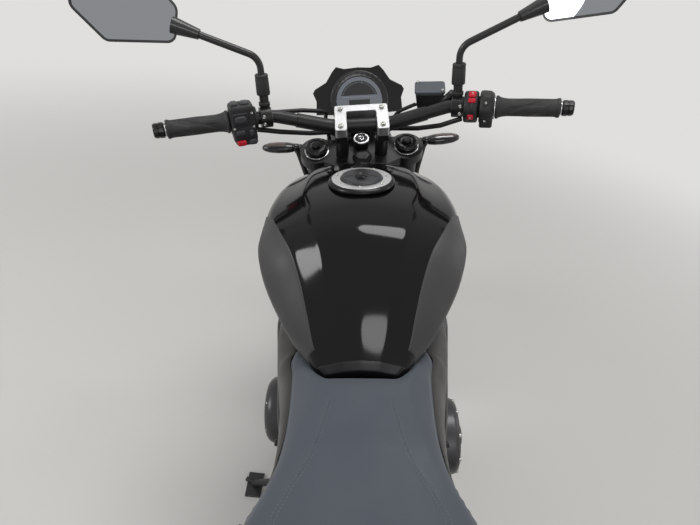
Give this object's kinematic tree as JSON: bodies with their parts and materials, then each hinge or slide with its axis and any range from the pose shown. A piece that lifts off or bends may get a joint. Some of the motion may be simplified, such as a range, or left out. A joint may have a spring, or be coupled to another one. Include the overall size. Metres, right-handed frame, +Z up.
{
  "type": "standard motorcycle",
  "caption": "Unfaired road motorcycle leaning on its side stand, with a humped tank, a stepped seat, a wide bar with mirrors, a round display and a blank plate behind the rear wheel.",
  "frame": {"origin": "on the floor under the middle of the parked machine's bounding box", "axes": "+X to the rider's right, +Y forward, +Z up; the machine leans left on its side stand"},
  "size_m": [0.9542, 2.0493, 1.3859],
  "materials": {
    "frame": "satin black paint",
    "rear_frame": "satin black paint",
    "crankcase": "dark crystal coat",
    "cylinders": "dark crystal coat",
    "cylinder_head": "dark crystal coat",
    "engine_covers": "satin dark grey",
    "radiator": "black painted core",
    "headers": "heat tinted stainless steel",
    "silencer": "brushed stainless steel",
    "fuel_tank": "gloss black with satin panels",
    "filler_ring": "turned",
    "filler_lid": "satin, dark centre",
    "seat": "matte blue-grey vinyl",
    "side_panels": "matte",
    "tail_unit": "satin black",
    "rear_lamps": "red and amber lenses in black",
    "swingarm": "satin black",
    "rear_axle": "zinc plated",
    "rear_caliper": "black anodised",
    "shock": "black spring on a steel body",
    "chain": "oiled",
    "rear_mudguard": "matte black",
    "plate_hanger": "black, with a pale blank plate",
    "footrests": "black anodised, with rubber pads",
    "side_stand": "black paint",
    "rear_tyre": "matte",
    "rear_rim": "satin black",
    "rear_disc": "ground",
    "rear_sprocket": "oiled steel",
    "front_tyre": "matte",
    "front_rim": "satin black",
    "front_discs": "ground",
    "front_axle": "zinc plated",
    "fork_tubes": "black anodised",
    "fork_sliders": "hard chrome",
    "fork_feet": "black cast",
    "front_calipers": "black anodised",
    "front_mudguard": "gloss black",
    "bottom_yoke": "black",
    "top_yoke": "black, forged",
    "handlebar": "satin black",
    "bar_clamp": "polished",
    "grips": "ribbed",
    "switchgear": "matte",
    "levers": "black levers on cast perches",
    "mirrors": "matte black",
    "mirror_glass": "mirror",
    "instrument": "black with a satin bezel",
    "instrument_glass": "dark display glass",
    "flyscreen": "satin black",
    "headlamp": "satin black bowl",
    "headlamp_lens": "clear",
    "lamp_brackets": "black",
    "cables": "black",
    "front_indicators": "black with amber lenses",
    "reservoir": "black",
    "reservoir_lid": "grained"
  },
  "bodies": {
    "chassis": {"frame": "frame", "rear_frame": "rear_frame", "crankcase": "crankcase", "cylinders": "cylinders", "cylinder_head": "cylinder_head", "engine_covers": "engine_covers", "radiator": "radiator", "headers": "headers", "silencer": "silencer", "fuel_tank": "fuel_tank", "filler_ring": "filler_ring", "seat": "seat", "side_panels": "side_panels", "tail_unit": "tail_unit", "rear_lamps": "rear_lamps", "swingarm": "swingarm", "rear_axle": "rear_axle", "rear_caliper": "rear_caliper", "shock": "shock", "chain": "chain", "rear_mudguard": "rear_mudguard", "plate_hanger": "plate_hanger", "footrests": "footrests"},
    "steering": {"front_axle": "front_axle", "fork_tubes": "fork_tubes", "fork_sliders": "fork_sliders", "fork_feet": "fork_feet", "front_calipers": "front_calipers", "front_mudguard": "front_mudguard", "bottom_yoke": "bottom_yoke", "top_yoke": "top_yoke", "handlebar": "handlebar", "bar_clamp": "bar_clamp", "grips": "grips", "switchgear": "switchgear", "levers": "levers", "mirrors": "mirrors", "mirror_glass": "mirror_glass", "instrument": "instrument", "instrument_glass": "instrument_glass", "flyscreen": "flyscreen", "headlamp": "headlamp", "headlamp_lens": "headlamp_lens", "lamp_brackets": "lamp_brackets", "cables": "cables", "front_indicators": "front_indicators", "reservoir": "reservoir", "reservoir_lid": "reservoir_lid"},
    "front_wheel": {"front_tyre": "front_tyre", "front_rim": "front_rim", "front_discs": "front_discs"},
    "rear_wheel": {"rear_tyre": "rear_tyre", "rear_rim": "rear_rim", "rear_disc": "rear_disc", "rear_sprocket": "rear_sprocket"},
    "side_stand": {"side_stand": "side_stand"},
    "filler_lid": {"filler_lid": "filler_lid"}
  },
  "joints": [
    {"name": "steering", "type": "hinge", "parent": "chassis", "child": "steering", "pos_m": [0.17694, 0.70019, 0.28443], "axis": [-0.1579, -0.4155, 0.8958], "range_deg": [-34.4, 27.6]},
    {"name": "front_wheel_spin", "type": "hinge", "parent": "steering", "child": "front_wheel", "pos_m": [0.17338, 0.725, 0.29531], "axis": [0.9788, 0.0541, 0.1976], "continuous": true},
    {"name": "rear_wheel_spin", "type": "hinge", "parent": "chassis", "child": "rear_wheel", "pos_m": [0.17236, -0.67594, 0.31166], "axis": [0.9848, 0.0002, 0.1736], "continuous": true},
    {"name": "side_stand", "type": "hinge", "parent": "chassis", "child": "side_stand", "pos_m": [0.05366, 0.04648, 0.22406], "axis": [-0.7944, 0.1254, 0.5943], "range_deg": [0, 106.8]},
    {"name": "filler_lid", "type": "hinge", "parent": "chassis", "child": "filler_lid", "pos_m": [0.05284, 0.20987, 0.98872], "axis": [-0.9848, -0.0002, -0.1736], "range_deg": [0, 95]}
  ]
}
